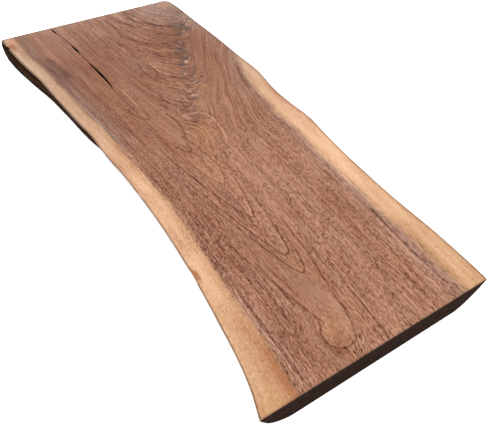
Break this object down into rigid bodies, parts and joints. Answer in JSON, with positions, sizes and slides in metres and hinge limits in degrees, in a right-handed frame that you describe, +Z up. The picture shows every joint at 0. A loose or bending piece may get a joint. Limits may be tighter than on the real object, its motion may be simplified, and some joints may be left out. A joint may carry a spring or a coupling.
{
  "type": "live edge walnut board",
  "caption": "Flat walnut slab with two natural live edges, sapwood rims, sawn square ends and a few fine drying splits, lying flat.",
  "frame": {"origin": "middle of the underside of the box around the board, on the surface that the board lies on", "axes": "+X along the board and its grain towards the near sawn end, +Y across the board towards its right side, +Z up out of the top face"},
  "size_m": [0.5694, 0.2436, 0.027],
  "materials": {
    "walnut": "sanded and lightly oiled, satin, with pale sapwood along both live edges and dark end grain"
  },
  "bodies": {
    "root": {"board": "walnut"}
  },
  "joints": []
}
